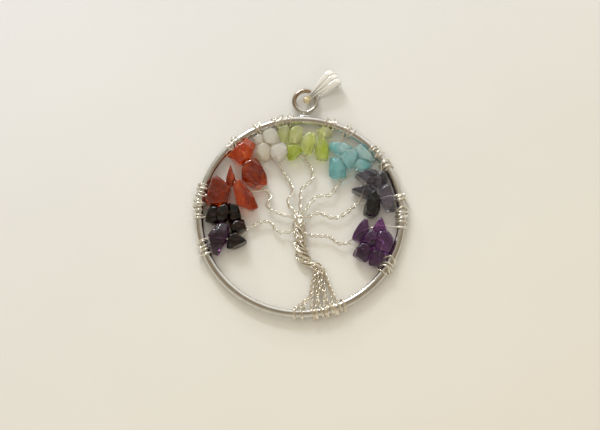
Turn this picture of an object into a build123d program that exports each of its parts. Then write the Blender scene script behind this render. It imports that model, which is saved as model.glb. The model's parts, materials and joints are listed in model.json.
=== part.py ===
from build123d import *
import os
from collections import namedtuple
from math import atan2, ceil, cos, degrees, pi, radians, sin, sqrt

# Tree of life pendant, lying on its back. Millimetres, +X right, +Y towards the bail, +Z up.
# Everything is laid out round the centre of the ring and moved at the end, so that the origin
# is at the bottom centre of the whole pendant as it lies.

# Ring and the round loop soldered on its top
ring_outer_d = 50.0
ring_wire_d = 2.0
loop_outer_d = 6.6
loop_wire_d = 1.1
solder_gap = 0.55
solder_length = 2.4
solder_d = 1.1

# Binding wire: twisted pairs for the branches, open coils round the ring
strand_d = 0.32
strand_sides = 5
pair_spread = 0.5
twist_pitch = 2.4
steps_per_twist = 6
wrap_gap = 0.05
steps_per_turn = 8
coil_first_angle = 60.0
root_turns = 1.3
root_coil_pitch = 0.51

# Stone chips
chip_size = 5.0
chip_gap = 0.12
ring_clearance = 0.12
bore_d = 0.7
bore_sides = 5
largest_facet_cut = 1.1

# Trunk: a bundle of wires twisted into one rope
trunk_r = 1.46
trunk_lobes = 6
lobe_depth = 0.13
trunk_turn = 330.0
trunk_stations = 26
floor_gap = 0.02
seat_gap = 0.25
root_layer_rise = 0.3

# Bail: a fluted strip folded into a drop, hooked over the soldered loop
bail_length = 9.8
bail_strip = 0.4
bail_fold_inner_r = 1.4
bail_fold_width = 4.3
bail_end_width = 3.8
bail_shoulder = 9.1
bail_tip_width = 1.2
bail_tip_r = 0.5
bail_hook = 2.7
bail_wire_play = 0.28
bail_neck_back = 0.3
bail_yaw = 42.0
flute_depth = 0.14
flute_place = 0.333
flute_share = 0.085

# Worked out from the sizes above
ring_r = (ring_outer_d - ring_wire_d) / 2
ring_inner_r = ring_r - ring_wire_d / 2
coil_r = (ring_wire_d / 2 + strand_d / 2 + wrap_gap) / cos(pi / steps_per_turn)
coil_reach = coil_r + strand_d / 2 / cos(pi / steps_per_turn)
ring_z = coil_reach
loop_r = (loop_outer_d - loop_wire_d) / 2
loop_centre = Vector(0, ring_outer_d / 2 + solder_gap + loop_outer_d / 2, ring_z)

# The bail's side view: each leaf is an arc from the fold down to a neck that clears the loop's wire
fold_x = bail_length - bail_strip - bail_fold_inner_r
neck_x = bail_hook - bail_neck_back
neck_y = loop_wire_d / 2 + bail_wire_play
leaf_rise = bail_fold_inner_r - neck_y
leaf_r = ((fold_x - neck_x) ** 2 + leaf_rise ** 2) / (2 * leaf_rise)

# Each stone: its centre as shares of the ring's inner radius, its lift off the surface and its
# length, width and height as shares of chip_size, the turn of its length from +X in degrees,
# and how far its front end narrows, from 0, blunt, to 1, pointed
Chip = namedtuple("Chip", "name x y lift length width height turn taper")
chips = [
    Chip("garnet_1", -0.885, -0.03, 0.05, 0.95, 0.70, 0.66, 80, 0.2),
    Chip("garnet_2", -0.795, -0.02, 0.14, 0.95, 0.66, 0.72, 70, 0.3),
    Chip("garnet_3", -0.690, -0.01, 0.04, 0.98, 0.70, 0.70, 100, 0.3),
    Chip("garnet_4", -0.635, -0.155, 0.12, 0.72, 0.62, 0.62, 20, 0.2),
    Chip("garnet_5", -0.638, -0.305, 0.02, 1.00, 0.84, 0.68, -5, 0.75),
    Chip("garnet_6", -0.835, -0.29, 0.06, 1.50, 0.92, 0.80, 62, 0.25),
    Chip("carnelian_1", -0.860, 0.22, 0.04, 1.52, 1.40, 0.84, 60, 0.35),
    Chip("carnelian_2", -0.615, 0.20, 0.16, 1.98, 0.86, 0.74, 118, 0.6),
    Chip("carnelian_3", -0.735, 0.37, 0.24, 1.40, 0.50, 0.62, 95, 0.85),
    Chip("carnelian_4", -0.509, 0.42, 0.04, 1.38, 1.20, 0.86, 105, 0.3),
    Chip("carnelian_5", -0.625, 0.655, 0.05, 1.24, 1.05, 0.84, 60, 0.25),
    Chip("moonstone_1", -0.340, 0.825, 0.06, 1.00, 0.84, 0.72, 110, 0.25),
    Chip("moonstone_2", -0.250, 0.665, 0.10, 0.88, 0.80, 0.78, 40, 0.2),
    Chip("moonstone_3", -0.405, 0.675, 0.02, 0.90, 0.78, 0.70, 100, 0.2),
    Chip("moonstone_4", -0.462, 0.800, 0.08, 0.66, 0.52, 0.56, 120, 0.2),
    Chip("peridot_1", -0.205, 0.880, 0.05, 0.94, 0.72, 0.70, 95, 0.3),
    Chip("peridot_2", -0.083, 0.855, 0.14, 0.92, 0.70, 0.74, 80, 0.2),
    Chip("peridot_3", -0.100, 0.695, 0.03, 0.82, 0.70, 0.68, 30, 0.3),
    Chip("peridot_4", 0.052, 0.775, 0.10, 1.10, 0.72, 0.76, 75, 0.25),
    Chip("peridot_5", 0.190, 0.735, 0.02, 1.16, 0.68, 0.74, 100, 0.35),
    Chip("peridot_6", 0.215, 0.900, 0.10, 0.72, 0.62, 0.62, 20, 0.3),
    Chip("apatite_1", 0.385, 0.735, 0.05, 1.12, 0.62, 0.62, 165, 0.35),
    Chip("apatite_2", 0.360, 0.524, 0.02, 0.96, 0.80, 0.74, 95, 0.1),
    Chip("apatite_3", 0.485, 0.625, 0.14, 0.92, 0.78, 0.74, 60, 0.3),
    Chip("apatite_4", 0.640, 0.690, 0.06, 1.02, 0.74, 0.72, 120, 0.2),
    Chip("apatite_5", 0.612, 0.555, 0.16, 0.84, 0.62, 0.60, 150, 0.3),
    Chip("iolite_1", 0.680, 0.440, 0.05, 1.30, 0.80, 0.70, 170, 0.6),
    Chip("iolite_2", 0.636, 0.280, 0.08, 1.10, 0.66, 0.66, 176, 0.7),
    Chip("iolite_3", 0.748, 0.165, 0.04, 1.44, 0.74, 0.74, 78, 0.35),
    Chip("iolite_4", 0.878, 0.228, 0.06, 1.42, 0.82, 0.78, 91, 0.2),
    Chip("iolite_5", 0.825, 0.415, 0.14, 0.82, 0.68, 0.66, 60, 0.3),
    Chip("amethyst_1", 0.648, -0.142, 0.06, 1.12, 0.76, 0.66, 75, 0.55),
    Chip("amethyst_2", 0.826, -0.085, 0.16, 0.96, 0.64, 0.68, 84, 0.9),
    Chip("amethyst_3", 0.742, -0.228, 0.10, 0.80, 0.76, 0.70, 30, 0.2),
    Chip("amethyst_4", 0.870, -0.250, 0.05, 1.24, 0.98, 0.82, 115, 0.3),
    Chip("amethyst_5", 0.668, -0.362, 0.03, 0.88, 0.80, 0.72, 60, 0.1),
    Chip("amethyst_6", 0.812, -0.430, 0.06, 0.84, 0.76, 0.66, 80, 0.4),
]

# Each branch: its kinked way out from the trunk, as shares of the ring's inner radius
branch_routes = {
    "garnet": [
        (-0.082, -0.180), (-0.140, -0.188), (-0.205, -0.193), (-0.246, -0.165),
        (-0.272, -0.115), (-0.309, -0.080), (-0.371, -0.080), (-0.432, -0.098), (-0.478, -0.130),
    ],
    "carnelian": [
        (-0.066, -0.012), (-0.110, -0.014), (-0.170, 0.000), (-0.247, 0.018), (-0.315, 0.053),
        (-0.348, 0.098), (-0.338, 0.144), (-0.314, 0.188), (-0.334, 0.231), (-0.362, 0.256),
    ],
    "moonstone": [
        (-0.046, 0.028), (-0.076, 0.052), (-0.112, 0.087), (-0.138, 0.131), (-0.125, 0.184),
        (-0.092, 0.231), (-0.088, 0.285), (-0.114, 0.339), (-0.152, 0.397), (-0.190, 0.452),
        (-0.224, 0.505),
    ],
    "peridot": [
        (-0.005, 0.042), (-0.008, 0.095), (-0.005, 0.169), (-0.009, 0.240), (0.006, 0.297),
        (0.055, 0.340), (0.098, 0.381), (0.113, 0.436), (0.100, 0.501), (0.068, 0.560),
        (0.030, 0.612),
    ],
    "apatite": [
        (0.038, 0.030), (0.056, 0.066), (0.080, 0.113), (0.116, 0.166), (0.160, 0.215),
        (0.214, 0.232), (0.277, 0.228), (0.316, 0.240), (0.338, 0.293), (0.374, 0.338),
        (0.398, 0.385),
    ],
    "iolite": [
        (0.052, -0.022), (0.092, -0.006), (0.142, 0.026), (0.202, 0.040), (0.262, 0.014),
        (0.318, -0.014), (0.379, -0.008), (0.440, 0.026), (0.498, 0.072), (0.539, 0.122),
        (0.588, 0.156),
    ],
    "amethyst": [
        (0.076, -0.203), (0.135, -0.209), (0.212, -0.210), (0.274, -0.209), (0.326, -0.223),
        (0.363, -0.255), (0.402, -0.284), (0.461, -0.280), (0.520, -0.266),
    ],
}

# Each wire of a branch: the branch and the side that it leaves its pair on, the numbers of the
# stones threaded on it, and the angles on the ring where its coil starts and ends, with its turns
Strand = namedtuple("Strand", "branch side stones start end turns")
strands = [
    Strand("garnet", 1, (5, 6), -162.5, -153.5, 4.6),
    Strand("garnet", -1, (4, 3, 2, 1), -175.5, -186.5, 4.2),
    Strand("carnelian", 1, (2, 3, 1), 171.5, 163.5, 4.1),
    Strand("carnelian", -1, (4, 5), 138.5, 132.0, 3.3),
    Strand("moonstone", 1, (3, 4), 119.0, 114.5, 2.2),
    Strand("moonstone", -1, (2, 1), 110.5, 104.0, 3.2),
    Strand("peridot", 1, (3, 2, 1), 100.5, 97.5, 1.6),
    Strand("peridot", -1, (4, 5, 6), 78.0, 71.5, 3.3),
    Strand("apatite", 1, (2, 3, 1), 66.0, 61.5, 2.3),
    Strand("apatite", -1, (5, 4), 46.8, 40.5, 3.2),
    Strand("iolite", 1, (2, 1, 5), 36.5, 30.0, 3.3),
    Strand("iolite", -1, (3, 4), 14.0, 11.0, 1.6),
    Strand("amethyst", 1, (1, 2), -5.5, 6.2, 6.3),
    Strand("amethyst", -1, (5, 3, 4, 6), -23.5, -33.0, 4.6),
]

# The trunk's centre line as shares of the ring's inner radius, and its radius as shares of trunk_r
Station = namedtuple("Station", "x y radius")
trunk_line = [
    Station(-0.008, -0.012, 0.42),
    Station(-0.008, -0.060, 0.78),
    Station(-0.006, -0.120, 0.92),
    Station(0.001, -0.219, 0.98),
    Station(0.011, -0.326, 1.00),
    Station(0.033, -0.408, 0.98),
    Station(0.076, -0.468, 0.78),
    Station(0.130, -0.507, 0.60),
    Station(0.186, -0.535, 0.68),
    Station(0.226, -0.580, 0.84),
    Station(0.240, -0.625, 0.72),
]

# Each root: where it leaves the trunk's foot, across it as a share of its half width, the angle on
# the ring where it is bound, and its bulge sideways on the way down, as a share of the ring's
# inner radius
Root = namedtuple("Root", "foot angle bulge")
roots = [
    Root(-1.0, -89.5, 0.075),
    Root(-0.75, -84.6, 0.050),
    Root(-0.5, -80.6, 0.010),
    Root(-0.25, -77.8, 0.012),
    Root(0.0, -75.3, 0.012),
    Root(0.25, -72.8, 0.022),
    Root(0.5, -70.3, 0.015),
    Root(0.75, -67.8, 0.030),
    Root(1.0, -65.2, 0.040),
]


def solid_of(faces):
    """A solid closed by flat faces, given as lists of corners."""
    return Solid(Shell([Face(Wire.make_polygon(corners, close=True)) for corners in faces]))


def wire_along(points, diameter, sides):
    """A wire with flat sides along the points, mitred at each bend."""
    runs = [(b - a).normalized() for a, b in zip(points, points[1:])]
    nearly_upright = Vector(0.31, 0.17, 0.93)
    across = runs[0].cross(nearly_upright).normalized()
    upright = runs[0].cross(across)
    turns = [2 * pi * k / sides for k in range(sides)]
    rim = [points[0] + (across * cos(t) + upright * sin(t)) * (diameter / 2) for t in turns]
    rims = [rim]
    for here, run, following in zip(points[1:], runs, runs[1:] + runs[-1:]):
        mitre = run + following
        rim = [p + run * ((here - p).dot(mitre) / run.dot(mitre)) for p in rim]
        rims.append(rim)
    faces = [list(reversed(rims[0])), rims[-1]]
    for low, high in zip(rims, rims[1:]):
        for k in range(sides):
            following = (k + 1) % sides
            faces.append([low[k], low[following], high[following], high[k]])
    return solid_of(faces)


def eased(points):
    """The same way with each corner cut once, so that a wire bends instead of folding."""
    corner_share = 0.25
    way = [points[0]]
    for a, b in zip(points, points[1:]):
        way += [a + (b - a) * corner_share, a + (b - a) * (1 - corner_share)]
    return way + [points[-1]]


def on_plan(x_share, y_share, z):
    """A point placed by shares of the ring's inner radius."""
    return Vector(x_share * ring_inner_r, y_share * ring_inner_r, z)


def walk(points, step):
    """Evenly spaced points along a way, with the direction there."""
    lengths = [(b - a).length for a, b in zip(points, points[1:])]
    total = sum(lengths)
    count = ceil(total / step)
    stops = []
    for k in range(count + 1):
        left = total * k / count
        run = 0
        while run < len(lengths) - 1 and left > lengths[run]:
            left -= lengths[run]
            run += 1
        along = (points[run + 1] - points[run]).normalized()
        stops.append((points[run] + along * left, along))
    return stops


# Stones

def chip_centre(chip):
    return on_plan(chip.x, chip.y, (chip.lift + chip.height / 2) * chip_size)


def chip_axes(chip):
    """The stone's three directions, and half its size along each."""
    turn = radians(chip.turn)
    ahead = Vector(cos(turn), sin(turn), 0)
    left = Vector(-sin(turn), cos(turn), 0)
    half = [chip_size * share / 2 for share in (chip.length, chip.width, chip.height)]
    return list(zip((ahead, left, Vector(0, 0, 1)), half))


def reach(chip, direction):
    """How far the stone's rounded body reaches from its centre in a direction."""
    return sqrt(sum((direction.dot(axis) * half) ** 2 for axis, half in chip_axes(chip)))


def block_reach(chip, direction):
    """How far the block that the stone is cut from reaches in a direction."""
    return sum(abs(direction.dot(axis)) * half for axis, half in chip_axes(chip))


def cut_back(stone, point, outward):
    """Grinds a stone back to a plane."""
    return split(stone, bisect_by=Plane(origin=point, z_dir=outward), keep=Keep.BOTTOM)


def facet_directions(chip, number):
    """The facets of a tumbled chip: uneven directions over its corners and edges."""
    unevenness = 0.38
    per_stone, per_facet, per_axis = 3.7, 5.1, 2.3
    directions = []
    corners = [(x, y, z) for x in (-1, 1) for y in (-1, 1) for z in (-1, 1)]
    edges = [(0, 1, 1), (0, -1, 1), (0, 1, -1), (0, -1, -1), (1, 0, 0.8), (-1, 0, 0.8)]
    for place, (x, y, z) in enumerate(corners + edges):
        phase = per_stone * number + per_facet * place
        wobble = [unevenness * sin(phase + per_axis * k) for k in range(3)]
        directions.append((x + wobble[0], y + wobble[1], z + wobble[2]))
    return directions


def rough_chip(chip, number):
    """A tumbled chip: a block with uneven facets, narrowed to its front end."""
    centre = chip_centre(chip)
    (ahead, half_length), (left, half_width), (up, half_height) = chip_axes(chip)
    block = Box(2 * half_length, 2 * half_width, 2 * half_height)
    stone = Pos(*centre) * Rot(0, 0, chip.turn) * block
    for x, y, z in facet_directions(chip, number):
        outward = (ahead * (x / half_length) + left * (y / half_width) + up * (z / half_height))
        outward = outward.normalized()
        stone = cut_back(stone, centre + outward * reach(chip, outward) * largest_facet_cut, outward)
    slope = chip.taper * half_width / half_length
    back_corner = 0.35
    for side in (-1, 1):
        shoulder = centre - ahead * (half_length * back_corner) + left * (side * half_width)
        stone = cut_back(stone, shoulder, (ahead * slope + left * side).normalized())
    return stone


def coil_spans():
    """Where coils sit on the ring, in degrees, with room at both ends."""
    room = degrees(2 * strand_d / ring_r)
    return [(min(s.start, s.end) - room, max(s.start, s.end) + room) for s in strands]


def outer_limit(chip):
    """How far out a stone may reach: to the ring, or to a coil if one is beside it."""
    centre = chip_centre(chip)
    angle = degrees(atan2(centre.Y, centre.X))
    half_span = degrees(chip_size * chip.width / 2 / ring_r)
    for low, high in coil_spans():
        for turn in (-360, 0, 360):
            if low - half_span < angle + turn < high + half_span:
                return ring_r - coil_reach - ring_clearance
    return ring_inner_r - ring_clearance


def ground_chips():
    """All stones, each ground back from its neighbours and from the ring."""
    stones = {}
    for number, chip in enumerate(chips):
        centre = chip_centre(chip)
        stone = rough_chip(chip, number)
        for other in chips:
            if other is chip:
                continue
            towards = chip_centre(other) - centre
            distance = towards.length
            towards = towards.normalized()
            if block_reach(chip, towards) + block_reach(other, towards) < distance:
                continue
            own = reach(chip, towards)
            share = own / (own + reach(other, towards))
            stone = cut_back(stone, centre + towards * (distance * share - chip_gap / 2), towards)
        outward = Vector(centre.X, centre.Y, 0).normalized()
        stone = cut_back(stone, Vector(0, 0, 0) + outward * outer_limit(chip), outward)
        stones[chip.name] = stone
    return stones


# Binding wire

def coil_points(start, end, turns):
    """A coil round the ring wire, between two angles on the ring."""
    count = round(turns * steps_per_turn)
    points = []
    for k in range(count + 1):
        place = radians(start + (end - start) * k / count)
        section = radians(coil_first_angle) + 2 * pi * k / steps_per_turn
        out = ring_r - coil_r * cos(section)
        points.append(Vector(out * cos(place), out * sin(place), ring_z + coil_r * sin(section)))
    return points


def pair_points(route, side):
    """One wire of a twisted pair, which ends on its own side of the pair's way."""
    stops = walk([on_plan(x, y, ring_z) for x, y in route], twist_pitch / steps_per_twist)
    last = len(stops) - 1
    points = []
    for k, (centre, along) in enumerate(stops):
        turn = 2 * pi * (k - last) / steps_per_twist
        left = Vector(-along.Y, along.X, 0)
        offset = (left * cos(turn) + Vector(0, 0, 1) * sin(turn)) * (side * pair_spread / 2)
        points.append(centre + offset)
    return points


def threaded_points(strand, pair_end):
    """From the end of the pair through the stones to the start of the coil."""
    named = {chip.name: chip for chip in chips}
    stops = [pair_end]
    for number in strand.stones:
        stops.append(chip_centre(named[strand.branch + "_" + str(number)]))
    coil = coil_points(strand.start, strand.end, strand.turns)
    return eased(stops + coil[:1]), coil


def make_branches():
    """Two wires a branch, each with the bore that it needs through the stones."""
    branches = {}
    bores = []
    for strand in strands:
        pair = pair_points(branch_routes[strand.branch], strand.side)
        threaded, coil = threaded_points(strand, pair[-1])
        points = pair + threaded[1:] + coil[1:]
        branches.setdefault(strand.branch, []).append(wire_along(points, strand_d, strand_sides))
        bores.append((threaded, wire_along(threaded, bore_d, bore_sides)))
    return branches, bores


def drilled(stones, bores):
    """Each stone with a bore for every wire that comes near it."""
    drilled_stones = {}
    probe_step = chip_size / 8
    for chip in chips:
        stone = stones[chip.name]
        centre = chip_centre(chip)
        for way, bore in bores:
            near = min((point - centre).length for point, along in walk(way, probe_step))
            if near < chip_size * max(chip.length, chip.width) / 2 + bore_d:
                stone = stone - bore
        drilled_stones[chip.name] = stone
    return drilled_stones


# Trunk and roots

def make_trunk():
    """Wires twisted into a rope: a lobed section that turns along a bent centre line."""
    line = [on_plan(s.x, s.y, ring_z) for s in trunk_line]
    radii = [s.radius * trunk_r for s in trunk_line]
    way = Spline(*line)
    points_round = 2 * trunk_lobes
    rims = []
    for k in range(trunk_stations + 1):
        share = k / trunk_stations
        centre = way @ share
        along = (way % share).normalized()
        left = Vector(-along.Y, along.X, 0).normalized()
        spot = share * (len(radii) - 1)
        low = min(int(spot), len(radii) - 2)
        radius = radii[low] + (radii[low + 1] - radii[low]) * (spot - low)
        rim = []
        for corner in range(points_round):
            turn = 2 * pi * corner / points_round + radians(trunk_turn) * share
            lobe = radius * (1 + (lobe_depth if corner % 2 == 0 else -lobe_depth) / 2)
            flat = min(1, (ring_z - floor_gap) / lobe)
            rim.append(centre + left * (lobe * cos(turn)) + Vector(0, 0, lobe * flat * sin(turn)))
        rims.append(rim)
    faces = [list(reversed(rims[0])), rims[-1]]
    for low, high in zip(rims, rims[1:]):
        for k in range(points_round):
            following = (k + 1) % points_round
            faces.append([low[k], low[following], high[following]])
            faces.append([low[k], high[following], high[k]])
    return solid_of(faces)


def make_roots():
    """Wires that fan from the trunk's foot to the ring and are bound round it."""
    foot = on_plan(trunk_line[-1].x, trunk_line[-1].y, ring_z)
    before = on_plan(trunk_line[-2].x, trunk_line[-2].y, ring_z)
    down = (foot - before).normalized()
    across = Vector(-down.Y, down.X, 0)
    half_foot = trunk_r * trunk_line[-1].radius
    wires = []
    for number, root in enumerate(roots):
        rise = root_layer_rise * (1 if number % 2 == 0 else -1)
        first = foot + down * seat_gap + across * (root.foot * half_foot) + Vector(0, 0, rise)
        width = degrees(root_turns * root_coil_pitch / ring_r)
        coil = coil_points(root.angle, root.angle + width, root_turns)
        middle = (first + coil[0]) / 2 + across * (root.bulge * ring_inner_r)
        wires.append(wire_along(eased([first, middle, coil[0]]) + coil[1:], strand_d, strand_sides))
    return wires


# Metal pieces

def make_ring_frame():
    """The round ring with the round loop soldered flat on its top edge."""
    ring = Pos(0, 0, ring_z) * Torus(ring_r, ring_wire_d / 2)
    loop = Pos(*loop_centre) * Torus(loop_r, loop_wire_d / 2)
    seam_place = Pos(0, (ring_outer_d + solder_gap) / 2, ring_z) * Rot(0, 90, 0)
    seam = seam_place * Cylinder(solder_d / 2, solder_length)
    return ring + seam + loop


def bail_profile(thickness):
    """Side view of the folded strip, seen along its width: from its tip to its fold."""
    fold_r = bail_fold_inner_r + thickness
    lean = (fold_x - neck_x) / leaf_r
    neck = Vector(fold_x - leaf_r * lean, bail_fold_inner_r - leaf_r + leaf_r * sqrt(1 - lean * lean))
    outward = Vector(-lean, sqrt(1 - lean * lean))
    shoulder = neck + outward * thickness
    top = Vector(fold_x, fold_r)
    end = Vector(fold_x + fold_r, 0)
    tip = Vector(bail_tip_r - thickness, 0)
    leaf = TangentArc(top, shoulder, tangent=(-1, 0)) + Line(shoulder, tip)
    fold = ThreePointArc(top, end, Vector(fold_x, -fold_r))
    return make_face(leaf + mirror(leaf, about=Plane.XZ) + fold)


def make_bail():
    """The strip cut to its taper, fluted along both leaves and closed at its tip."""
    outside = bail_profile(bail_strip)
    inside = bail_profile(0)
    skin_inside = bail_profile(bail_strip - flute_depth)
    across = Rot(90, 0, 0)

    def slab(face):
        return across * extrude(face, amount=bail_fold_width, both=True)

    taper = [
        (0, bail_tip_width / 2),
        (bail_shoulder, bail_fold_width / 2),
        (bail_length, bail_end_width / 2),
    ]

    def plan(low, high):
        """A strip in plan between two shares of the bail's half width, cut right through."""
        edge = [(x, high * half) for x, half in taper] + [(x, low * half) for x, half in reversed(taper)]
        return extrude(make_face(Polyline(*edge, close=True)), amount=bail_length, both=True)

    strip = (slab(outside) - slab(inside)) & plan(-1, 1)
    tip = Pos(bail_tip_r, 0, 0) * Rot(90, 0, 0) * Cylinder(bail_tip_r, bail_tip_width)
    skin = slab(outside) - slab(skin_inside)
    for side in (-1, 1):
        groove = plan(side * flute_place - flute_share, side * flute_place + flute_share)
        strip = strip - (skin & groove)
    return strip + tip


def placed_bail(bail):
    """The bail hooked over the loop's wire, with its fold lying on the surface."""
    pitch = 0
    for settling in range(8):
        bulge = (leaf_r - bail_fold_inner_r) * (1 - cos(pitch))
        pitch = (bail_fold_inner_r + bail_strip + bulge - ring_z) / (fold_x - bail_hook)
    yaw = radians(bail_yaw)
    hinge = loop_centre + Vector(cos(yaw), sin(yaw), 0) * loop_r
    hooked = Pos(*hinge) * Rot(0, 0, bail_yaw) * Rot(0, -degrees(pitch), 0) * Pos(-bail_hook, 0, 0)
    eye = (hooked * Pos(fold_x, 0, 0)).position
    return hooked * bail, hinge, eye


branches, bores = make_branches()
pieces = {"ring_frame": [make_ring_frame()], "trunk": [make_trunk()], "roots": make_roots()}
bail, hinge, eye = placed_bail(make_bail())
pieces["bail"] = [bail]
for name, wires in branches.items():
    pieces["branch_" + name] = wires
for name, stone in drilled(ground_chips(), bores).items():
    pieces[name] = [stone]

whole = Compound(children=[Compound(list(solids)) for solids in pieces.values()]).bounding_box()
to_origin = Vector(-(whole.min.X + whole.max.X) / 2, -(whole.min.Y + whole.max.Y) / 2, -whole.min.Z)

os.makedirs("parts", exist_ok=True)
for name, solids in pieces.items():
    moved = [solid.moved(Location(to_origin)) for shape in solids for solid in shape.solids()]
    export_step(moved[0] if len(moved) == 1 else Compound(moved), os.path.join("parts", name + ".step"))

print("ring centre", to_origin + Vector(0, 0, ring_z))
print("hinge", hinge + to_origin)
print("bail eye", eye + to_origin)
print("size", whole.size)
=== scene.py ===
import json
from collections import namedtuple
from math import ceil, cos, pi, radians, sin

import bpy
from mathutils import Matrix, Vector, noise


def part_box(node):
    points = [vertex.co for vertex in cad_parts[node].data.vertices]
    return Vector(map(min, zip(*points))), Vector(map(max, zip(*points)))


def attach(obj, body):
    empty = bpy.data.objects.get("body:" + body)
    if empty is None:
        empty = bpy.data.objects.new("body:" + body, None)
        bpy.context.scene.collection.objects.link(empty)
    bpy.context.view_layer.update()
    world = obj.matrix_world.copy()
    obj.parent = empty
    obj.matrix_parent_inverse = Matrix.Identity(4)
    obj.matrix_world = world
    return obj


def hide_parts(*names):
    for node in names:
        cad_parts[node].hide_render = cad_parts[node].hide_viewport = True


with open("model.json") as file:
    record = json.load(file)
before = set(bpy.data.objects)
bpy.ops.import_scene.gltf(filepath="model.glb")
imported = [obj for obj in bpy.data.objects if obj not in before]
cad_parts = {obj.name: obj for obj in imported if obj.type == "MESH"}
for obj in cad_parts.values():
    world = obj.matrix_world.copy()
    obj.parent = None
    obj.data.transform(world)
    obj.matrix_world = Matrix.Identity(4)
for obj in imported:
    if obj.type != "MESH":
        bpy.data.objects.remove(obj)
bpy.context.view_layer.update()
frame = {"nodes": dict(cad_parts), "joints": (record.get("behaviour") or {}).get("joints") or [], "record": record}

mm = 0.001


# The surface and the view
# The pendant lies on its back on a sheet of smooth cream paper and is seen from its roots' side.
# Small lamps in a window beyond its bail, to the left, glint in the metal. Two large soft lamps,
# which the metal doesn't mirror, and a pale room light the rest.
ring_low, ring_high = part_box("ring_frame")
ring_outer_r = (ring_high.x - ring_low.x) / 2
ring_centre = Vector((
    (ring_low.x + ring_high.x) / 2,
    ring_low.y + ring_outer_r,
    (ring_low.z + ring_high.z) / 2,
))
view_height = radians(72.8)
view_turn = radians(2.5)
view_distance = 0.5
view_lens = 126.5
view_shift = (-0.0005, 0.0012)
paper_size = 4.0
# The paper's colour is painted with light and shade: bluer towards the window, where its cool light falls, and
# yellower towards the viewer, in warm shade.
paper_painted_window_light = ((0.750, 0.765, 0.790, 1), (0.780, 0.795, 0.820, 1))
paper_painted_shade = ((0.780, 0.765, 0.700, 1), (0.810, 0.795, 0.730, 1))
viewer_way = (0.5, -0.85, 0)
shading_reach = 0.07
paper_patches = 14
paper_fibres = 1800
fibre_depth = 0.00005
window_way = (0.05, 0.963, 0.265)
room_towards_window = [
    (0.00, (0.64, 0.59, 0.51, 1)),
    (0.28, (0.40, 0.36, 0.28, 1)),
    (0.50, (0.24, 0.19, 0.125, 1)),
    (0.72, (0.29, 0.24, 0.17, 1)),
    (0.82, (0.45, 0.42, 0.36, 1)),
    (0.88, (0.64, 0.62, 0.57, 1)),
    (0.94, (0.86, 0.85, 0.81, 1)),
    (1.00, (1.0, 0.99, 0.96, 1)),
]
room_strength = 1.2


def mixed(nodes, links, share, first, second):
    """A colour between two, or between a socket and a colour, by a share."""
    mix = nodes.new("ShaderNodeMix")
    mix.data_type = "RGBA"
    links.new(share, mix.inputs[0])
    for socket, colour in ((mix.inputs[6], first), (mix.inputs[7], second)):
        if isinstance(colour, bpy.types.NodeSocket):
            links.new(colour, socket)
        else:
            socket.default_value = colour
    return mix.outputs[2]


def ranged(nodes, links, value, low=0, high=1, new_low=0, new_high=1):
    """A value between low and high, spread out between two new ends."""
    spread = nodes.new("ShaderNodeMapRange")
    ends = {"From Min": low, "From Max": high, "To Min": new_low, "To Max": new_high}
    for end, number in ends.items():
        spread.inputs[end].default_value = number
    links.new(value, spread.inputs["Value"])
    return spread.outputs["Result"]


def measured(nodes, links, places, kind, against):
    """How far each place lies from a point, or along a way."""
    measure = nodes.new("ShaderNodeVectorMath")
    measure.operation = kind
    measure.inputs[1].default_value = against
    links.new(places, measure.inputs[0])
    return measure.outputs["Value"]


def speckle(nodes, links, coordinates, scale, detail, low=0.3, high=0.7):
    """Uneven patches from 0 to 1, as many to the metre as the scale says."""
    cloud = nodes.new("ShaderNodeTexNoise")
    cloud.inputs["Scale"].default_value = scale
    cloud.inputs["Detail"].default_value = detail
    links.new(coordinates, cloud.inputs["Vector"])
    return ranged(nodes, links, cloud.outputs["Fac"], low, high)


def relief(nodes, links, heights, depth, strength):
    """The surface's own small unevenness."""
    bump = nodes.new("ShaderNodeBump")
    bump.inputs["Strength"].default_value = strength
    bump.inputs["Distance"].default_value = depth
    links.new(heights, bump.inputs["Height"])
    return bump.outputs["Normal"]


def new_finish(name):
    """A material with its surface, its nodes, its links and the place on the piece."""
    finish = bpy.data.materials.new(name)
    finish.use_nodes = True
    nodes, links = finish.node_tree.nodes, finish.node_tree.links
    place = nodes.new("ShaderNodeTexCoord").outputs["Object"]
    return finish, nodes["Principled BSDF"], nodes, links, place


bpy.ops.object.select_all(action="DESELECT")
bpy.ops.mesh.primitive_grid_add(x_subdivisions=8, y_subdivisions=8, size=paper_size)
paper = bpy.context.object
paper.name = "paper"
paper_finish, surface, nodes, links, place = new_finish("cream_paper")
patches = speckle(nodes, links, place, scale=paper_patches, detail=3)
# Painted light and shade: the paper turns from the window's cool light to warm shade towards the viewer.
towards_viewer = measured(nodes, links, place, "DOT_PRODUCT", viewer_way)
painted_shade_share = ranged(nodes, links, towards_viewer, -shading_reach, shading_reach)
painted_lit_tone = mixed(nodes, links, patches, *paper_painted_window_light)
painted_shade_tone = mixed(nodes, links, patches, *paper_painted_shade)
links.new(mixed(nodes, links, painted_shade_share, painted_lit_tone, painted_shade_tone), surface.inputs["Base Color"])
surface.inputs["Roughness"].default_value = 0.82
surface.inputs["Specular IOR Level"].default_value = 0.3
fibres = speckle(nodes, links, place, scale=paper_fibres, detail=4)
links.new(relief(nodes, links, fibres, fibre_depth, strength=0.25), surface.inputs["Normal"])
paper.data.materials.append(paper_finish)

away = Vector((
    sin(view_turn) * cos(view_height),
    -cos(view_turn) * cos(view_height),
    sin(view_height),
))
lens = bpy.data.cameras.new("view")
lens.sensor_width = 36
lens.lens = view_lens
lens.shift_x, lens.shift_y = view_shift
view = bpy.data.objects.new("view", lens)
view.location = ring_centre + away * view_distance
view.rotation_euler = (-away).to_track_quat("-Z", "Y").to_euler()
bpy.context.scene.collection.objects.link(view)
bpy.context.scene.camera = view


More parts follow.
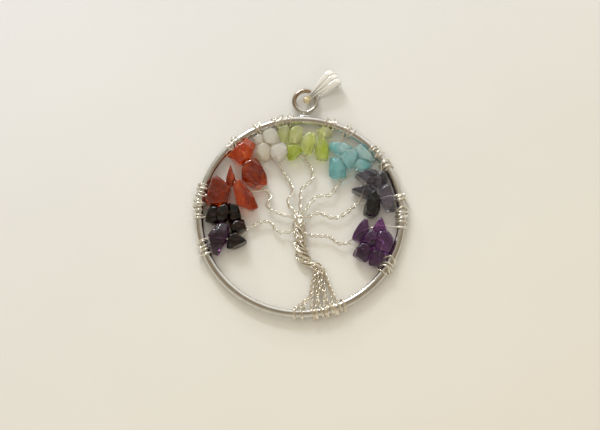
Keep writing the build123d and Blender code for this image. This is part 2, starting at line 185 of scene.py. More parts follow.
# Each lamp is square and faces the ring's middle: its place from there, the length of its side,
# its power in watts and its colour, and whether the metal mirrors it
Lamp = namedtuple("Lamp", "name place size power colour mirrored")
lamps = [
    Lamp("window_lamp", (-0.20, 0.48, 0.34), 0.15, 0.90, (0.90, 0.95, 1.0), True),
    Lamp("window_gap", (-0.10, 0.50, 0.38), 0.04, 0.30, (1.0, 1.0, 1.0), True),
    Lamp("window_slit", (-0.24, 0.50, 0.16), 0.05, 0.40, (1.0, 1.0, 0.98), True),
    Lamp("room_lamp", (-0.20, 0.25, 0.85), 1.1, 2.55, (1.0, 0.95, 0.86), False),
    Lamp("wall_lamp", (0.10, -0.55, 0.70), 1.0, 1.9, (1.0, 0.94, 0.84), False),
]
for lamp in lamps:
    light = bpy.data.lights.new(lamp.name, "AREA")
    light.size = lamp.size
    light.energy = lamp.power
    light.color = lamp.colour
    hung = bpy.data.objects.new(lamp.name, light)
    hung.location = ring_centre + Vector(lamp.place)
    hung.rotation_euler = (-Vector(lamp.place)).to_track_quat("-Z", "Y").to_euler()
    hung.visible_glossy = lamp.mirrored
    bpy.context.scene.collection.objects.link(hung)

room = bpy.data.worlds.new("room")
room.use_nodes = True
nodes, links = room.node_tree.nodes, room.node_tree.links
directions = nodes.new("ShaderNodeTexCoord").outputs["Generated"]
towards_window = measured(nodes, links, directions, "DOT_PRODUCT", window_way)
bands = nodes.new("ShaderNodeValToRGB")
stops = bands.color_ramp.elements
for number, (share, colour) in enumerate(room_towards_window):
    stop = stops[number] if number < 2 else stops.new(share)
    stop.position, stop.color = share, colour
links.new(ranged(nodes, links, towards_window, low=-1), bands.inputs["Fac"])
links.new(bands.outputs["Color"], nodes["Background"].inputs["Color"])
nodes["Background"].inputs["Strength"].default_value = room_strength
bpy.context.scene.world = room
bpy.context.scene.view_settings.view_transform = "Standard"


# The ring and its loop
# A round brass wire bent to a ring, soldered shut, silver plated and polished. A small round loop
# is soldered flat on its top edge, and the solder stands up a little between the two.
ring_wire_r = (ring_high.z - ring_low.z) / 2
ring_r = ring_outer_r - ring_wire_r
ring_inner_r = ring_r - ring_wire_r
loop_wire_r = 0.55 * mm
loop_r = 2.75 * mm
loop_centre = Vector((ring_centre.x, ring_high.y - loop_r - loop_wire_r, ring_centre.z))
solder_half = Vector((1.75, 0.62, 0.66)) * mm
solder_sink = 0.1 * mm
# The loop's upper left is painted dull brown, a painted reflection of the dark warm room, fading out towards the
# ring.
painted_reflection_side = Vector((-1.3, 1.3, 0)) * mm
painted_reflection_tone = (0.48, 0.39, 0.31, 1)


def polished_silver(name, tone, shade, smooth, rough, pits, patches=420, bare=1.0):
    """Bright plate: patches of slightly darker tone, a fine uneven polish and shallow dents."""
    finish, metal, nodes, links, place = new_finish(name)
    tarnish = speckle(nodes, links, place, scale=patches, detail=3, low=0.35, high=0.75)
    links.new(mixed(nodes, links, tarnish, tone, shade), metal.inputs["Base Color"])
    metal.inputs["Metallic"].default_value = bare
    wear = speckle(nodes, links, place, scale=1500, detail=5)
    polish = ranged(nodes, links, wear, new_low=smooth, new_high=rough)
    links.new(polish, metal.inputs["Roughness"])
    dents = speckle(nodes, links, place, scale=700, detail=2)
    links.new(relief(nodes, links, dents, depth=pits, strength=0.5), metal.inputs["Normal"])
    return finish


def overlaid(finish, value, low, high, tone):
    """A second tone lies over the finish's own, more of it as a value goes from low to high."""
    nodes, links = finish.node_tree.nodes, finish.node_tree.links
    share = ranged(nodes, links, value, low, high)
    colour = nodes["Principled BSDF"].inputs["Base Color"]
    links.new(mixed(nodes, links, share, colour.links[0].from_socket, tone), colour)


def toned_near(finish, middle, far, near, tone):
    """The plate's tone turns to another one close to a place."""
    nodes, links = finish.node_tree.nodes, finish.node_tree.links
    place = nodes.new("ShaderNodeTexCoord").outputs["Object"]
    overlaid(finish, measured(nodes, links, place, "DISTANCE", middle), far, near, tone)


def only(piece):
    """Leaves one piece selected and active."""
    bpy.ops.object.select_all(action="DESELECT")
    piece.select_set(True)
    bpy.context.view_layer.objects.active = piece


def settled(piece, name, finish, slot, body, *nodes):
    """Names a finished piece, gives it its finish, and puts it in its nodes' place."""
    piece.name = name
    piece.data.name = name
    only(piece)
    bpy.ops.object.transform_apply(location=True, rotation=True, scale=True)
    piece.data.materials.clear()
    piece.data.materials.append(finish)
    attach(piece, body)
    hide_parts(*nodes)


def applied(piece, kind, **settings):
    """Adds a modifier with its settings and applies it."""
    modifier = piece.modifiers.new(kind.lower(), kind)
    for setting, value in settings.items():
        setattr(modifier, setting, value)
    bpy.ops.object.modifier_apply(modifier=modifier.name)


bpy.ops.object.select_all(action="DESELECT")
bpy.ops.mesh.primitive_torus_add(
    location=ring_centre, major_segments=288, minor_segments=32,
    major_radius=ring_r, minor_radius=ring_wire_r,
)
ring = bpy.context.object
bpy.ops.mesh.primitive_torus_add(
    location=loop_centre, major_segments=96, minor_segments=28,
    major_radius=loop_r, minor_radius=loop_wire_r,
)
loop = bpy.context.object
solder_place = Vector((ring_centre.x, ring_centre.y + ring_outer_r - solder_sink, ring_centre.z))
bpy.ops.mesh.primitive_ico_sphere_add(location=solder_place, subdivisions=5, radius=1)
solder = bpy.context.object
solder.scale = solder_half
bpy.ops.object.transform_apply(scale=True)
only(ring)
for part in (loop, solder):
    applied(ring, "BOOLEAN", object=part, operation="UNION", solver="EXACT")
for part in (loop, solder):
    bpy.data.objects.remove(part)
only(ring)
bpy.ops.object.shade_smooth()
ring_silver = polished_silver(
    "ring_silver", tone=(0.74, 0.72, 0.69, 1), shade=(0.64, 0.62, 0.58, 1),
    smooth=0.07, rough=0.18, pits=0.00002,
)
# Painted reflection: the loop's upper left darkens to a dull brown.
toned_near(
    ring_silver, loop_centre + painted_reflection_side, far=loop_r * 1.5, near=loop_r * 0.9, tone=painted_reflection_tone)
settled(ring, "ring_polished", ring_silver, "silver", "pendant", "ring_frame")


# The bail
# A strip of thin plated brass, pressed into three long ribs with grooves between, is folded
# over so that both leaves meet, and hooked round the wire of the loop. The grooves are painted
# dark as painted shade. A small brass-coloured knob closes its tip. It is wide at the fold, where
# a chain goes through.
swing = frame["joints"][0]
bail_hinge = Vector(swing["pos_m"])
bail_across = Vector(swing["axis"]).normalized()
bail_eye = Vector(frame["record"]["mounts"][0]["pos_m"])
bail_ahead = (bail_eye - bail_hinge).normalized()
bail_up = bail_ahead.cross(bail_across)
fold_r = frame["record"]["mounts"][0]["dims"]["r_mm"] * mm
bail_strip = 0.4 * mm
bail_hook = 2.7 * mm
neck_back = 0.3 * mm
neck_rise = loop_wire_r + 0.28 * mm
fold_x = (bail_eye - bail_hinge).length + bail_hook
tip_half_width = 0.55 * mm
fold_half_width = 2.1 * mm
width_growth = 0.85
fold_narrowing = 0.12
leaf_thickness = bail_strip * 0.8
edge_bevel = 0.08 * mm
crown_rise = 0.12 * mm
rib_count = 3
rib_rise = 0.26 * mm
rib_flatness = 6
rib_fullness = 0.7
rib_sunk_share = 0.6
rib_share_at_tip = 0.25
strip_edge = 0.999
lowest_middle = bail_strip * 0.42
# The painted shade in the grooves: its half width, how far out across the strip it goes, and its tone
groove_shade_half = 0.19 * mm
last_groove = 0.9
groove_painted_shade = (0.14, 0.14, 0.13, 1)
knob_half = Vector((0.75, 0.98, 0.72)) * mm
knob_x, knob_z = 0.35 * mm, 0.35 * mm
knob_tone = (0.72, 0.62, 0.40, 1)
rows_on_leaf = 30
rows_on_fold = 18
columns = 60


def bail_way():
    """Side view of the strip's middle: along, up and which way it faces, from tip round to tip."""
    middle = bail_strip / 2
    neck_x = bail_hook - neck_back
    rise = fold_r - neck_rise
    leaf_r = ((fold_x - neck_x) ** 2 + rise ** 2) / (2 * rise)
    lean = (fold_x - neck_x) / leaf_r
    tip = (middle, 0.25 * mm, -0.6, 0.8)
    hook = (1.1 * mm, neck_rise * 0.72, -0.35, 0.94)
    way = [tip, hook]
    for row in range(rows_on_leaf + 1):
        turn = lean * (1 - row / rows_on_leaf)
        reach = leaf_r + middle
        x, z = fold_x - reach * sin(turn), fold_r - leaf_r + reach * cos(turn)
        way.append((x, z, -sin(turn), cos(turn)))
    upper = list(way)
    for row in range(1, rows_on_fold):
        turn = pi / 2 - pi * row / rows_on_fold
        reach = fold_r + middle
        way.append((fold_x + reach * cos(turn), reach * sin(turn), cos(turn), sin(turn)))
    return way + [(x, -z, fx, -fz) for x, z, fx, fz in reversed(upper)]


def share_of_leaf(x):
    """How far a place is along the leaf, from 0 at the loop to 1 at the fold."""
    return min(max((x - bail_hook) / (fold_x - bail_hook), 0), 1)


def share_of_rib(across):
    """How far a place across the strip, from -1 to 1, is over its rib, from 0 to 1."""
    return ((across + 1) / 2 * rib_count) % 1


def rib_height(across):
    """How high a rib stands at a place across the strip, from 0 in a groove to 1 on its back."""
    from_back = abs(2 * share_of_rib(across) - 1)
    return max(0, 1 - from_back ** rib_flatness) ** rib_fullness if abs(across) < strip_edge else 0


def half_width(x):
    """Half the strip's width, which grows from its tips to the fold."""
    past_fold = max(x - fold_x, 0) / (fold_r + bail_strip)
    growth = (fold_half_width - tip_half_width) * share_of_leaf(x) ** width_growth
    return (tip_half_width + growth) * (1 - fold_narrowing * past_fold ** 2)


def groove_shade_share(x, across):
    """Painted shade in the grooves: 1 in the bottom of a groove, 0 on the ribs and along the outer edges."""
    rib = share_of_rib(across)
    distance = min(rib, 1 - rib) * 2 * half_width(x) / rib_count
    return max(0, 1 - distance / groove_shade_half) if abs(across) < last_groove else 0


def beside(place, local):
    """A place beside another by the bail's own directions: ahead, across and up."""
    return place + bail_ahead * local.x + bail_across * local.y + bail_up * local.z


def bail_point(station, across):
    """A place on the strip: three round ribs with sharp grooves between, wider at the fold."""
    x, z, face_x, face_z = station
    crown = crown_rise * (1 - across * across)
    rib = rib_rise * (rib_height(across) - rib_sunk_share)
    lift = (crown + rib) * min(1, rib_share_at_tip + share_of_leaf(x))
    local = Vector((x + face_x * lift - bail_hook, across * half_width(x), z + face_z * lift))
    place = beside(bail_hinge, local)
    place.z = max(place.z, lowest_middle)
    return place


bpy.ops.object.select_all(action="DESELECT")
way = bail_way()
bpy.ops.mesh.primitive_grid_add(x_subdivisions=len(way) - 1, y_subdivisions=columns, size=2)
bail = bpy.context.object
# The groove attribute carries the painted shade in the grooves.
groove = bail.data.attributes.new("groove", "FLOAT", "POINT")
for corner in bail.data.vertices:
    station = way[round((corner.co.x + 1) / 2 * (len(way) - 1))]
    groove.data[corner.index].value = groove_shade_share(station[0], corner.co.y)
    corner.co = bail_point(station, corner.co.y)
bpy.ops.object.mode_set(mode="EDIT")
bpy.ops.mesh.select_all(action="SELECT")
bpy.ops.mesh.normals_make_consistent(inside=False)
bpy.ops.object.mode_set(mode="OBJECT")
applied(bail, "SOLIDIFY", thickness=leaf_thickness, offset=0)
applied(bail, "BEVEL", width=edge_bevel, segments=3, limit_method="ANGLE", angle_limit=radians(50))
bpy.ops.mesh.primitive_ico_sphere_add(subdivisions=4, radius=1)
knob = bpy.context.object
knob_place = beside(bail_hinge, Vector((knob_x - bail_hook, 0, knob_z)))
for corner in knob.data.vertices:
    corner.co = beside(knob_place, Vector(a * half for a, half in zip(corner.co, knob_half)))
only(bail)
knob.select_set(True)
bpy.ops.object.join()
bpy.ops.object.shade_smooth()
bail_silver = polished_silver(
    "bail_silver", tone=(0.97, 0.97, 0.94, 1), shade=(0.92, 0.91, 0.87, 1),
    smooth=0.08, rough=0.18, pits=0.00001, bare=0.35,
)
# Painted shade: the grooves darken to near black.
groove_shade_attribute = bail_silver.node_tree.nodes.new("ShaderNodeAttribute")
groove_shade_attribute.attribute_name = "groove"
overlaid(bail_silver, groove_shade_attribute.outputs["Fac"], low=0.1, high=0.6, tone=groove_painted_shade)
toned_near(bail_silver, knob_place, far=1.6 * mm, near=0.9 * mm, tone=knob_tone)
settled(bail, "bail_folded", bail_silver, "silver", "bail", "bail")


# The branches and the coils that bind them to the ring
# Each branch is two soft plated copper wires twisted together. At its end they part, and each is
# threaded through its stones, wound round the ring, back over its own turns, and cut off.
wire_r = 0.18 * mm
twist_r = 0.33 * mm
coil_r = ring_wire_r + wire_r + 0.03 * mm
twist_play = 0.22
twist_patch = 1.3 * mm
steps_on_pitch = 10
bridge_rise = 0.9 * mm

# The coils: how far they stand off the ring and wander along it, each by a smooth noise with its own
# rate and seed, how they turn back over themselves, and how their cut ends stand off
coil_play = 0.40 * mm
coil_slack = 0.35
slack_rate, slack_seed = 0.3, 4.2
coil_wander = 0.055
wander_rate, wander_step, wander_seed = 0.35, 3.1, 1.7
most_play = 10
first_section = radians(60)
over_turns = 1.6
over_stretch = 1.4
tail_length = 0.4 * mm
tail_ahead, tail_off = 0.75, 0.65
steps_on_turn = 12

# Where a branch comes out of the trunk's top: the share of its first x, how far below its first y,
# and the height over the ring's middle
branch_starts = [(0.4, 0.13, 1.20 * mm), (0.6, 0.06, 1.00 * mm)]
first_rise = 0.5 * mm

# The middle of each branch, as shares of the ring's inner radius
branch_routes = {
    "garnet": [
        (-0.060, -0.170), (-0.140, -0.188), (-0.205, -0.193), (-0.246, -0.165),
        (-0.272, -0.115), (-0.309, -0.080), (-0.371, -0.080), (-0.432, -0.098), (-0.478, -0.130),
    ],
    "carnelian": [
        (-0.035, -0.030), (-0.066, -0.012), (-0.110, -0.014), (-0.170, 0.000), (-0.247, 0.018),
        (-0.315, 0.053), (-0.348, 0.098), (-0.338, 0.144), (-0.314, 0.188), (-0.334, 0.231),
        (-0.362, 0.256),
    ],
    "moonstone": [
        (-0.030, 0.005), (-0.046, 0.028), (-0.076, 0.052), (-0.112, 0.087), (-0.138, 0.131),
        (-0.125, 0.184), (-0.092, 0.231), (-0.088, 0.285), (-0.114, 0.339), (-0.152, 0.397),
        (-0.190, 0.452), (-0.224, 0.505),
    ],
    "peridot": [
        (-0.008, -0.010), (-0.005, 0.042), (-0.008, 0.095), (-0.005, 0.169), (-0.009, 0.240),
        (0.006, 0.297), (0.055, 0.340), (0.098, 0.381), (0.113, 0.436), (0.100, 0.501),
        (0.068, 0.560), (0.030, 0.612),
    ],
    "apatite": [
        (0.015, -0.005), (0.038, 0.030), (0.056, 0.066), (0.080, 0.113), (0.116, 0.166),
        (0.160, 0.215), (0.214, 0.232), (0.277, 0.228), (0.316, 0.240), (0.338, 0.293),
        (0.374, 0.338), (0.398, 0.385),
    ],
    "iolite": [
        (0.020, -0.035), (0.052, -0.022), (0.092, -0.006), (0.142, 0.026), (0.202, 0.040),
        (0.262, 0.014), (0.318, -0.014), (0.379, -0.008), (0.440, 0.026), (0.498, 0.072),
        (0.539, 0.122), (0.588, 0.156),
    ],
    "amethyst": [
        (0.040, -0.195), (0.076, -0.203), (0.135, -0.209), (0.212, -0.210), (0.274, -0.209),
        (0.326, -0.223), (0.363, -0.255), (0.402, -0.284), (0.461, -0.280), (0.520, -0.266),
    ],
}

# The length of one turn of each pair, in millimetres
twist_pitches = {
    "garnet": 3.2, "carnelian": 4.6, "moonstone": 4.0, "peridot": 4.2,
    "apatite": 4.0, "iolite": 3.4, "amethyst": 2.5,
}

# Each wire: its branch, its side of the pair, the middles of the stones on it as shares of the
# ring's inner radius, the angles on the ring where its coil starts and ends, and its turns
Strand = namedtuple("Strand", "branch side stones start end turns")
strands = [
    Strand("garnet", 1, [(-0.638, -0.305, 0.078), (-0.835, -0.290, 0.100)], -162.5, -153.5, 4.6),
    Strand("garnet", -1, [
        (-0.635, -0.155, 0.094), (-0.690, -0.010, 0.085), (-0.795, -0.020, 0.109),
        (-0.885, -0.030, 0.083),
    ], -175.5, -186.5, 4.2),
    Strand("carnelian", 1, [
        (-0.615, 0.200, 0.115), (-0.735, 0.370, 0.120), (-0.860, 0.220, 0.100),
    ], 171.5, 163.5, 4.1),
    Strand("carnelian", -1, [(-0.509, 0.420, 0.102), (-0.625, 0.655, 0.102)], 138.5, 132.0, 3.3),
    Strand("moonstone", 1, [(-0.405, 0.675, 0.080), (-0.462, 0.800, 0.078)], 119.0, 114.5, 2.2),
    Strand("moonstone", -1, [(-0.250, 0.665, 0.107), (-0.340, 0.825, 0.091)], 110.5, 104.0, 3.2),
    Strand("peridot", 1, [
        (-0.100, 0.695, 0.080), (-0.083, 0.855, 0.111), (-0.205, 0.880, 0.087),
    ], 100.5, 97.5, 1.6),
    Strand("peridot", -1, [
        (0.052, 0.775, 0.104), (0.190, 0.735, 0.085), (0.215, 0.900, 0.089),
    ], 78.0, 71.5, 3.3),
    Strand("apatite", 1, [
        (0.360, 0.524, 0.085), (0.485, 0.625, 0.111), (0.385, 0.735, 0.078),
    ], 66.0, 61.5, 2.3),
    Strand("apatite", -1, [(0.612, 0.555, 0.100), (0.640, 0.690, 0.091)], 46.8, 40.5, 3.2),
    Strand("iolite", 1, [
        (0.636, 0.280, 0.089), (0.680, 0.440, 0.087), (0.825, 0.415, 0.102),
    ], 36.5, 30.0, 3.3),
    Strand("iolite", -1, [(0.748, 0.165, 0.089), (0.878, 0.228, 0.098)], 14.0, 11.0, 1.6),
    Strand("amethyst", 1, [(0.648, -0.142, 0.085), (0.826, -0.085, 0.109)], -5.5, 6.2, 6.3),
    Strand("amethyst", -1, [
        (0.668, -0.362, 0.085), (0.742, -0.228, 0.098), (0.870, -0.250, 0.100),
        (0.812, -0.430, 0.085),
    ], -23.5, -33.0, 4.6),
]


def on_ring_plan(x_share, y_share, z):
    """A place by shares of the ring's inner radius."""
    x = ring_centre.x + x_share * ring_inner_r
    y = ring_centre.y + y_share * ring_inner_r
    return Vector((x, y, z))


def softened(points):
    """The same way with its corners cut, as wire bends."""
    way = [points[0]]
    for a, b in zip(points, points[1:]):
        way += [a.lerp(b, 0.2), a.lerp(b, 0.8)]
    return way + [points[-1]]


def walked(points, step):
    """Evenly spaced places along a way, with the direction there."""
    lengths = [(b - a).length for a, b in zip(points, points[1:])]
    total = sum(lengths)
    count = max(2, ceil(total / step))
    stops = []
    for number in range(count + 1):
        left = total * number / count
        run = 0
        while run < len(lengths) - 1 and left > lengths[run]:
            left -= lengths[run]
            run += 1
        ahead = (points[run + 1] - points[run]).normalized()
        stops.append((points[run] + ahead * left, ahead))
    return stops


def twisted(route, wire, spread, pitch, start=0.0):
    """One of the two wires, 0 or 1, that turn round each other along a route."""
    points = []
    for number, (centre, ahead) in enumerate(walked(softened(route), pitch / steps_on_pitch)):
        turn = start + 2 * pi * (number / steps_on_pitch + wire / 2)
        left = Vector((-ahead.y, ahead.x, 0)).normalized()
        up = ahead.cross(left)
        loose = 1 + twist_play * noise.noise(centre / twist_patch + Vector((wire, 0, 0)))
        points.append(centre + (left * cos(turn) + up * sin(turn)) * spread * loose)
    return points


def ring_place(angle, section, radius):
    """A place round the ring's wire: an angle on the ring, and one on the wire's own section."""
    out = ring_r - radius * cos(section)
    return ring_centre + Vector((out * cos(angle), out * sin(angle), radius * sin(section)))


def coil(start, end, turns, tail, over=0.0):
    """A loose coil round the ring that may turn back over itself, with its cut end standing off."""
    count = round((turns + over) * steps_on_turn)
    one_way = round(turns * steps_on_turn)
    points = []
    for number in range(count + 1):
        share = number / one_way
        if number > one_way:
            share = 1 - (number - one_way) / one_way * over_stretch
        section = first_section + 2 * pi * number / steps_on_turn
        wander = noise.noise(Vector((start * wander_step, section * wander_rate, wander_seed)))
        angle = radians(start + (end - start) * share)
        angle += coil_wander * wander * min(1, number / steps_on_turn)
        slack = coil_slack + noise.noise(Vector((end, section * slack_rate, slack_seed)))
        play = coil_play * max(0, slack)
        if number > one_way:
            play += 2 * wire_r
        bottom = max(0, -sin(section))
        play = min(play, (1 - bottom) * most_play * wire_r)
        points.append(ring_place(angle, section, coil_r + play))
    ahead = (points[-1] - points[-2]).normalized()
    off = (points[-1] - ring_place(angle, 0, 0)).normalized()
    points.append(points[-1] + (ahead * tail_ahead + off * tail_off) * tail)
    for point in points:
        point.z = max(point.z, wire_r)
    return points


def wires(name, ways, thickness):
    """Round wires along their ways, as one piece."""
    curve = bpy.data.curves.new(name, "CURVE")
    curve.dimensions = "3D"
    curve.bevel_depth = thickness
    curve.bevel_resolution = 2
    curve.resolution_u = 2
    curve.use_fill_caps = True
    for way in ways:
        line = curve.splines.new("NURBS")
        line.points.add(len(way) - 1)
        for point, place in zip(line.points, way):
            point.co = (*place, 1)
        line.order_u = 3
        line.use_endpoint_u = True
    piece = bpy.data.objects.new(name, curve)
    bpy.context.scene.collection.objects.link(piece)
    only(piece)
    bpy.ops.object.convert(target="MESH")
    bpy.ops.object.shade_smooth()
    return piece


wire_silver = polished_silver(
    "wire_silver", tone=(0.99, 0.97, 0.90, 1), shade=(0.80, 0.73, 0.60, 1),
    smooth=0.08, rough=0.20, pits=0.00001, patches=900, bare=0.85,
)
for branch, route in branch_routes.items():
    first_x, first_y = route[0]
    line = [
        on_ring_plan(first_x * share, first_y - below, ring_centre.z + rise)
        for share, below, rise in branch_starts
    ]
    line += [on_ring_plan(x, y, ring_centre.z) for x, y in route]
    line[len(branch_starts)].z += first_rise
    ways = []
    for strand in strands:
        if strand.branch != branch:
            continue
        wire = 0 if strand.side > 0 else 1
        pair = twisted(line, wire, twist_r, twist_pitches[branch] * mm)
        threaded = [pair[-1]]
        for x, y, z in strand.stones:
            middle = on_ring_plan(x, y, z * ring_inner_r)
            if len(threaded) > 1:
                bridge = (threaded[-1] + middle) / 2
                bridge.z += bridge_rise
                threaded.append(bridge)
            threaded.append(middle)
        wound = coil(strand.start, strand.end, strand.turns, tail_length, over_turns)
        ways.append(pair + softened(threaded + wound[:1])[1:] + wound[1:])
    node = "branch_" + branch
    pair = wires(node + "_wires", ways, wire_r)
    settled(pair, node + "_wires", wire_silver, "wire", "pendant", node)


# The trunk
# All the branch wires come together and are twisted into one rope. It stands straight below the
# branches, is pinched at the bend, and opens again towards the roots.
trunk_r = 1.46 * mm
outer_wires = 16
inner_wires = 7
trunk_wire_r = 0.18 * mm
rope_steps = 90
slope_step = 0.01
drift, drift_along, drift_between = 1.2, 5.5, 2.7
stray, stray_along, stray_between, stray_seed = 0.6, 5, 1.9, 3.3

# The rope's middle in shares of the ring's inner radius, its radius as a share of the widest, and
# how far it is twisted there, in degrees
Station = namedtuple("Station", "x y radius turn")
trunk_line = [
    Station(-0.008, -0.012, 0.36, 0),
    Station(-0.008, -0.060, 0.70, -14),
    Station(-0.006, -0.120, 0.92, -38),
    Station(0.001, -0.219, 0.98, -90),
    Station(0.011, -0.326, 1.00, -160),
    Station(0.033, -0.408, 0.98, -225),
    Station(0.076, -0.468, 0.78, -285),
    Station(0.130, -0.507, 0.58, -335),
    Station(0.186, -0.535, 0.66, -365),
    Station(0.226, -0.580, 0.82, -385),
    Station(0.240, -0.625, 0.72, -400),
]


def along_trunk(share):
    """The rope's middle, radius and twist at a share of its way, on a smooth curve."""
    spot = share * (len(trunk_line) - 1)
    low = min(int(spot), len(trunk_line) - 2)
    part = spot - low
    corners = [trunk_line[max(low - 1, 0)], trunk_line[low], trunk_line[low + 1]]
    corners.append(trunk_line[min(low + 2, len(trunk_line) - 1)])
    values = []
    for field in range(4):
        p, q, r, s = (corner[field] for corner in corners)
        slope = (r - p) / 2
        bend = p - 2.5 * q + 2 * r - s / 2
        sway = (s - p) / 2 + 1.5 * (q - r)
        values.append(q + part * (slope + part * (bend + part * sway)))
    return values


def rope_wire(number, count, depth):
    """One wire of the rope, which strays in and out as hand-twisted wire does."""
    points = []
    for step in range(rope_steps + 1):
        share = step / rope_steps
        x, y, radius, turn = along_trunk(share)
        x_next, y_next = along_trunk(min(share + slope_step, 1))[:2]
        x_last, y_last = along_trunk(max(share - slope_step, 0))[:2]
        ahead = Vector((x_next - x_last, y_next - y_last, 0)).normalized()
        left = Vector((-ahead.y, ahead.x, 0))
        angle = radians(turn) + 2 * pi * number / count
        drift_place = Vector((share * drift_along, number * drift_between, depth))
        stray_place = Vector((share * stray_along, number * stray_between, depth + stray_seed))
        angle += drift * noise.noise(drift_place)
        loose = 1 + stray * noise.noise(stray_place)
        out = max(radius * trunk_r - trunk_wire_r, 0) * depth * loose
        centre = on_ring_plan(x, y, ring_centre.z)
        place = centre + left * (out * cos(angle)) + Vector((0, 0, out * sin(angle)))
        place.z = max(place.z, trunk_wire_r)
        points.append(place)
    return points


rope = [rope_wire(number, outer_wires, 1.0) for number in range(outer_wires)]
rope += [rope_wire(number + 0.5, inner_wires, 0.5) for number in range(inner_wires)]
rope_silver = polished_silver(
    "rope_silver", tone=(0.99, 0.96, 0.88, 1), shade=(0.70, 0.60, 0.44, 1),
    smooth=0.08, rough=0.22, pits=0.00001, patches=1500, bare=0.82,
)
trunk = wires("trunk_rope", rope, trunk_wire_r)
settled(trunk, "trunk_rope", rope_silver, "wire", "pendant", "trunk")


# The roots
# Below the rope the wires part into twisted pairs that fan out, cross, and are bound round the
# bottom of the ring. Two of them run out to the left before they reach it.

# Each root: where it leaves the foot, across it in half widths, its bend in shares of the ring's
# inner radius, the angle on the ring where its coil starts, and its turns
Root = namedtuple("Root", "foot knee_x knee_y angle turns")
roots = [
    Root(-1.6, 0.135, -0.870, -91.5, 0.7),
    Root(-1.3, 0.150, -0.850, -87.6, 0.7),
    Root(-1.0, 0.165, -0.800, -81.0, 1.3),
    Root(-0.6, 0.225, -0.800, -79.2, 1.3),
    Root(-0.3, 0.190, -0.780, -76.0, 1.3),
    Root(0.1, 0.290, -0.800, -73.8, 1.3),
    Root(0.4, 0.240, -0.760, -70.5, 1.3),
    Root(0.7, 0.350, -0.800, -69.0, 1.3),
    Root(1.0, 0.325, -0.720, -65.6, 1.3),
]
root_wire_r = 0.155 * mm
root_twist_r = 0.26 * mm
root_rise, rise_step = 0.4 * mm, 2.4
root_overlap = 0.5 * mm
root_pitch, pitch_change, pitch_step = 2.9, 0.6, 3.1
root_coil_span = 1.6
root_coil_gap = 0.3 * mm
long_tails = 2
long_tail, short_tail = 1.5 * mm, 0.3 * mm
foot = on_ring_plan(trunk_line[-1].x, trunk_line[-1].y, ring_centre.z)
above_foot = on_ring_plan(trunk_line[-3].x, trunk_line[-3].y, ring_centre.z)
down = (foot - on_ring_plan(trunk_line[-2].x, trunk_line[-2].y, ring_centre.z)).normalized()
across = Vector((-down.y, down.x, 0))
half_foot = trunk_r * trunk_line[-1].radius
ways = []
for number, root in enumerate(roots):
    rise = root_rise * sin(rise_step * number)
    first = foot - down * root_overlap + across * (root.foot * half_foot) + Vector((0, 0, rise))
    knee = on_ring_plan(root.knee_x, root.knee_y, ring_centre.z + rise)
    tail = long_tail if number < long_tails else short_tail
    bound = coil(root.angle, root.angle + root_coil_span, root.turns, tail)
    route = [
        above_foot.lerp(first, 0.4), first, first.lerp(knee, 0.5),
        knee, knee.lerp(bound[0], 0.6), bound[0],
    ]
    pitch = (root_pitch + pitch_change * sin(pitch_step * number)) * mm
    for wire in (0, 1):
        pair = twisted(route, wire, root_twist_r, pitch, number)
        shifted = [point + Vector((wire * root_coil_gap, 0, 0)) for point in bound]
        ways.append(pair[:-1] + shifted)
fan = wires("root_wires", ways, root_wire_r)
settled(fan, "root_wires", rope_silver, "wire", "pendant", "roots")


# The stone chips
# Tumbled, drilled and polished chips of seven stones, in the colours of the rainbow from the left
# round to the right. No two are alike, and each lets some light through.

# Each stone: its darkest and lightest tone, how clear and how rough it is, its refraction, its wet
# coat, its patches to the metre, and how light each of its chips is
Look = namedtuple("Look", "deep light clear haze bend gloss cloud shades")
stone_looks = {
    "garnet": Look(
        (0.002, 0.001, 0.001), (0.12, 0.03, 0.02), 0.90, 0.03, 1.36, 0.5, 420,
        (0.0, 0.4, -0.1, 0.3, 0.1)),
    "garnet_6": Look(
        (0.003, 0.002, 0.006), (0.20, 0.05, 0.20), 0.88, 0.03, 1.40, 0.7, 300,
        (0.4,)),
    "carnelian": Look(
        (0.26, 0.002, 0.001), (1.0, 0.19, 0.012), 0.78, 0.04, 1.42, 0.8, 260,
        (0.05, 0.45, -0.1, 0.2, 1.0)),
    "moonstone": Look(
        (1.0, 0.90, 0.74), (1.0, 0.97, 0.92), 0.62, 0.16, 1.33, 0.3, 330,
        (0.45, 0.95, 0.1, 0.3)),
    "peridot": Look(
        (0.70, 0.86, 0.08), (0.98, 1.0, 0.72), 0.80, 0.10, 1.38, 0.5, 360,
        (0.7, 0.8, 0.1, 0.6, 0.3, 0.7)),
    "apatite": Look(
        (0.24, 0.68, 0.72), (0.78, 0.96, 0.97), 0.70, 0.16, 1.36, 0.4, 330,
        (0.5, 0.3, 0.5, 0.8, 0.4)),
    "iolite": Look(
        (0.003, 0.003, 0.016), (0.50, 0.46, 0.56), 0.88, 0.05, 1.40, 0.7, 300,
        (0.55, 0.1, -0.35, 0.65, 0.35)),
    "amethyst": Look(
        (0.03, 0.003, 0.04), (0.56, 0.18, 0.66), 0.86, 0.05, 1.42, 0.8, 300,
        (0.1, 0.5, 0.1, 0.25, 0.05, 0.2)),
}
glow_depth = 1.5 * mm
cloud_shift = (0.013, 0.007, 0.003)
cloud_turn = 0.7
cloud_stretch = (1.3, 0.5, 1)
cloud_depth = 0.4
vein_fineness = 2.2
scar_depth = 0.00005

# Each chip is shaped in millimetres and then put back to metres
grain = 0.12
worn_times = 16
dent_size = 1.6
dent_depth = 0.24
dent_texture = bpy.data.textures.new("stone_dents", "CLOUDS")
dent_texture.noise_scale = dent_size


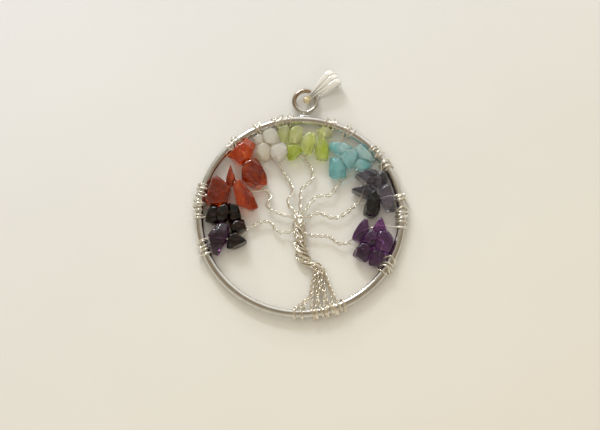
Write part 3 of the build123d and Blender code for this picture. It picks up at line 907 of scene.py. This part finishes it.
def gem(name, look, shade, number):
    """Polished stone: cloudy patches of two tones, faint veins and a wet gloss."""
    finish, stone, nodes, links, place = new_finish(name)
    mapping = nodes.new("ShaderNodeMapping")
    mapping.inputs["Location"].default_value = [shift * number for shift in cloud_shift]
    mapping.inputs["Rotation"].default_value = (0, 0, cloud_turn * number)
    mapping.inputs["Scale"].default_value = cloud_stretch
    links.new(place, mapping.inputs["Vector"])
    own_place = mapping.outputs["Vector"]
    clouds = speckle(nodes, links, own_place, scale=look.cloud, detail=4, low=0.32, high=0.68)
    darkest, lightest = max(shade - cloud_depth, 0), min(shade + cloud_depth, 1)
    depth = ranged(nodes, links, clouds, new_low=darkest, new_high=lightest)
    tone = mixed(nodes, links, depth, (*look.deep, 1), (*look.light, 1))
    vein_scale = look.cloud * vein_fineness
    veins = speckle(nodes, links, own_place, vein_scale, detail=6, low=0.60, high=0.80)
    links.new(mixed(nodes, links, veins, tone, (*look.light, 1)), stone.inputs["Base Color"])
    stone.inputs["Roughness"].default_value = look.haze
    stone.inputs["IOR"].default_value = look.bend
    stone.inputs["Transmission Weight"].default_value = look.clear
    stone.inputs["Subsurface Weight"].default_value = 1.0
    stone.inputs["Subsurface Radius"].default_value = (1.0, 1.0, 1.0)
    stone.inputs["Subsurface Scale"].default_value = glow_depth
    stone.inputs["Coat Weight"].default_value = look.gloss
    stone.inputs["Coat Roughness"].default_value = 0.03
    scars = speckle(nodes, links, own_place, scale=900, detail=2)
    links.new(relief(nodes, links, scars, scar_depth, strength=0.4), stone.inputs["Normal"])
    return finish


chip_names = sorted(name for name in frame["nodes"] if name.split("_")[0] in stone_looks)
for number, chip_name in enumerate(chip_names):
    kind, place_in_kind = chip_name.split("_")
    chip = bpy.data.objects.new(chip_name + "_polished", frame["nodes"][chip_name].data.copy())
    bpy.context.scene.collection.objects.link(chip)
    only(chip)
    chip.data.transform(Matrix.Scale(1 / mm, 4))
    bpy.ops.object.mode_set(mode="EDIT")
    bpy.ops.mesh.select_all(action="SELECT")
    bpy.ops.mesh.remove_doubles(threshold=0.001)
    bpy.ops.object.mode_set(mode="OBJECT")
    applied(chip, "REMESH", mode="VOXEL", voxel_size=grain)
    applied(chip, "SMOOTH", factor=0.5, iterations=worn_times)
    applied(
        chip, "DISPLACE", texture=dent_texture, strength=dent_depth, mid_level=0.36,
        texture_coords="LOCAL",
    )
    chip.data.transform(Matrix.Scale(mm, 4))
    bpy.ops.object.shade_smooth()
    look = stone_looks.get(chip_name, stone_looks[kind])
    shade = look.shades[(int(place_in_kind) - 1) % len(look.shades)]
    finish = gem(chip_name + "_stone", look, shade, number)
    settled(chip, chip_name + "_polished", finish, kind, "pendant", chip_name)
